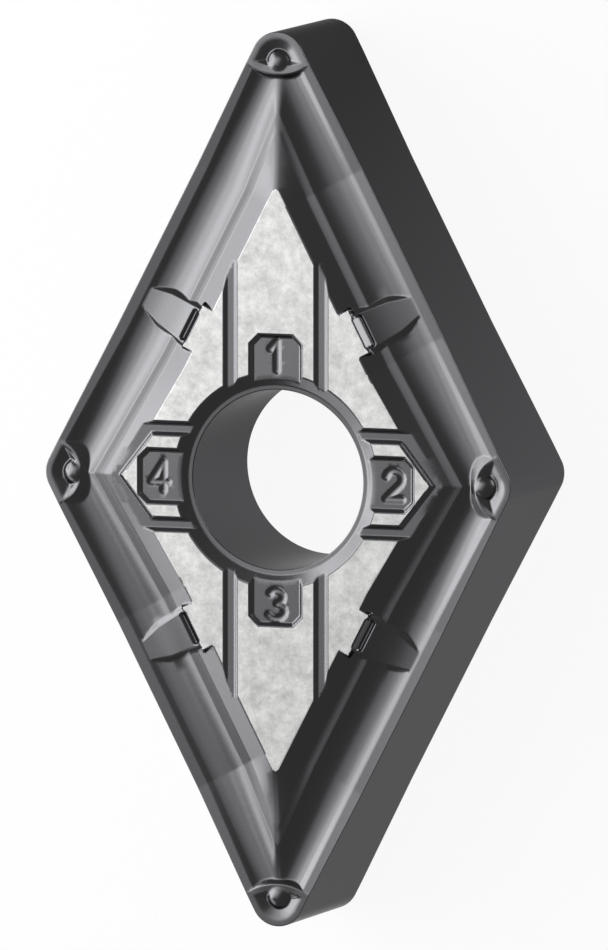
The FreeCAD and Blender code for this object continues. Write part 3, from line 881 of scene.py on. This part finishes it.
# %% The whole insert
# `lie` carries the normals of the height, and the mesh takes them over at the end.
modifier = half.modifiers.new("both_faces", "NODES")
modifier.node_group = both_faces_tree()
sockets = {item.name: item.identifier for item in modifier.node_group.interface.items_tree
           if item.in_out == "INPUT"}
for name, setting in (("Turn", math.pi), ("Weld", 1e-7), ("Coating", coating), ("Seat", ground)):
    modifier[sockets[name]] = setting
evaluated = half.evaluated_get(bpy.context.evaluated_depsgraph_get())
whole = bpy.data.meshes.new_from_object(evaluated)
bpy.data.objects.remove(half)

lie = np.zeros(len(whole.vertices) * 3, np.float32)
whole.attributes["lie"].data.foreach_get("vector", lie)
whole.attributes.remove(whole.attributes["lie"])
whole.attributes.remove(whole.attributes["ground"])
whole.transform(Matrix.Translation((0, 0, SEAT * MM)))
whole.shade_smooth()
lie = lie.reshape(-1, 3)
whole.normals_split_custom_set_from_vertices(lie / np.linalg.norm(lie, axis=1)[:, None])
insert = bpy.data.objects.new("turning_insert", whole)
bpy.context.scene.collection.objects.link(insert)
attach(insert, "root")
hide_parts("insert_body")
triangle_count = sum(len(face.vertices) - 2 for face in whole.polygons)
print("insert", len(whole.vertices), "points", triangle_count, "triangles")

# %% [markdown]
# ## Floor
# The insert lies on white paper. To the camera the paper is plain white, and it glows in
# reflections too, so that the dark coating has something pale to reflect. That glow
# fades towards +Y. This is a painted reflection, which puts painted shade on the side wall
# towards its far corner, while the paper stays evenly white to the camera. The paper
# still takes the insert's shadow.

# %% White paper
# The glow in reflections fades between these two Y places, down to this share. It is a painted
# reflection that shades the far side wall.
FADE_FROM, FADE_TO, FADE_LEFT = -0.002, 0.012, 0.35
GLOW_SHARE = 0.92


def quad_mesh(name, size):
    """A square on the ground, so many metres from its middle to its sides."""
    mesh = bpy.data.meshes.new(name)
    corners = [(sx * size, sy * size, 0) for sx, sy in ((-1, -1), (1, -1), (1, 1), (-1, 1))]
    mesh.from_pydata(corners, [], [(0, 1, 2, 3)])
    item = bpy.data.objects.new(name, mesh)
    bpy.context.scene.collection.objects.link(item)
    return item


floor = quad_mesh("floor", 1.5)
paper, tree = new_material("white_paper")
white = add_node(tree, "ShaderNodeBsdfDiffuse", {"Color": linear("#f4f4f4")})
path = add_node(tree, "ShaderNodeLightPath")
place = add_node(tree, "ShaderNodeTexCoord")
split = add_node(tree, "ShaderNodeSeparateXYZ", {}, {"Vector": place.outputs["Object"]})
# Painted reflection: glossy rays see the glow fade with Y, which darkens the side wall.
painted_reflection_fade = add_node(tree, "ShaderNodeMapRange",
                {"From Min": FADE_FROM, "From Max": FADE_TO, "To Min": 1.0, "To Max": FADE_LEFT},
                {"Value": split.outputs["Y"]})
strength = add_node(tree, "ShaderNodeMath", {"operation": "MAXIMUM"},
                    {0: path.outputs["Is Camera Ray"], 1: painted_reflection_fade.outputs["Result"]})
glow = add_node(tree, "ShaderNodeEmission", {"Color": linear("#ffffff")},
                {"Strength": strength.outputs[0]})
either = add_node(tree, "ShaderNodeMath", {"operation": "MAXIMUM"},
                  {0: path.outputs["Is Camera Ray"], 1: path.outputs["Is Glossy Ray"]})
either = add_node(tree, "ShaderNodeMath", {"operation": "MAXIMUM"},
                  {0: either.outputs[0], 1: path.outputs["Is Transmission Ray"]})
share = add_node(tree, "ShaderNodeMath", {"operation": "MULTIPLY"}, {0: either.outputs[0]})
share.inputs[1].default_value = GLOW_SHARE
mixed = add_node(tree, "ShaderNodeMixShader", {},
                 {0: share.outputs[0], 1: white.outputs[0], 2: glow.outputs[0]})
add_node(tree, "ShaderNodeOutputMaterial", {}, {"Surface": mixed.outputs[0]})
floor.data.materials.append(paper)
print("floor", floor.name)

# %% [markdown]
# ## Lamps
# A shiny dark part shows little but the reflections of its lamps, so each soft box is
# placed for the faces that it lights. Most stand on the left, low ones for the groove
# walls and higher ones for the seat, and one stands low on the right. A pale world fills
# the rest.

# %% Soft boxes and world
LAMP_REACH = 80.0
WORLD_STRENGTH = 0.19


def soft_box(name, azimuth, elevation, width, tall, radiance):
    """Rectangular lamp, millimetres, on a dome round the insert and turned to it."""
    light = bpy.data.lights.new(name, "AREA")
    light.shape = "RECTANGLE"
    light.size, light.size_y = width * MM, tall * MM
    light.energy = radiance * math.pi * width * tall * MM * MM
    item = bpy.data.objects.new(name, light)
    bpy.context.scene.collection.objects.link(item)
    a, e = math.radians(azimuth), math.radians(elevation)
    out = Vector((math.cos(a) * math.cos(e), math.sin(a) * math.cos(e), math.sin(e)))
    item.location = out * LAMP_REACH * MM
    item.rotation_euler = item.location.to_track_quat("Z", "Y").to_euler()
    return item


# Azimuth, elevation, width and height in millimetres, and brightness.
LAMPS = {
    "left_low": (160, 8, 76, 18, 6.0), "left_wall": (168, 26, 100, 34, 2.5),
    "left_middle": (190, 22, 50, 26, 1.4), "left_upper": (168, 36, 90, 22, 1.8),
    "front_left": (222, 20, 46, 24, 1.8), "left_high": (170, 48, 70, 30, 2.0),
    "overhead_near": (150, 58, 50, 50, 1.05), "overhead_top": (150, 72, 90, 50, 0.65),
    "right_low": (28, 10, 44, 28, 5.0),
}
for name, setting in LAMPS.items():
    soft_box(name, *setting)

world = bpy.data.worlds.new("studio")
bpy.context.scene.world = world
world.use_nodes = True
background = world.node_tree.nodes["Background"].inputs
background["Color"].default_value = linear("#ffffff")
background["Strength"].default_value = WORLD_STRENGTH
print("lamps", len(LAMPS))

# %% [markdown]
# ## Camera
# The photograph has next to no perspective: edges that are parallel on the insert stay
# parallel in it. A very long lens from far away gives that and keeps a real camera.

# %% Camera
# RIGHT and TOWARDS are the picture's right and the way to the camera, on the insert.
RIGHT = Vector((0.9394, 0.0001, -0.3428))
TOWARDS = Vector((0.3409, 0.1058, 0.9341))
PIXELS_PER_MM, FRAME_TALL = 35.01, 950
LENS, SENSOR = 1000.0, 36.0
CENTRE_AT = (305.1145 - 304.0, 475.0 - 472.0135)
camera_data = bpy.data.cameras.new("camera")
camera_data.lens, camera_data.sensor_width = LENS, SENSOR
distance = FRAME_TALL / PIXELS_PER_MM * LENS / SENSOR
camera = bpy.data.objects.new("camera", camera_data)
bpy.context.scene.collection.objects.link(camera)
axis = TOWARDS.normalized()
side = (RIGHT - axis * RIGHT.dot(axis)).normalized()
upward = axis.cross(side)
aim = Vector((0, 0, SEAT))
aim = aim - side * CENTRE_AT[0] / PIXELS_PER_MM - upward * CENTRE_AT[1] / PIXELS_PER_MM
turn = Matrix((side, upward, axis)).transposed().to_4x4()
camera.matrix_world = Matrix.Translation((aim + axis * distance) * MM) @ turn
camera_data.clip_start, camera_data.clip_end = 0.05, 5.0
bpy.context.scene.camera = camera
bpy.context.scene.view_settings.view_transform = "Standard"
print("camera", round(distance), "mm away")
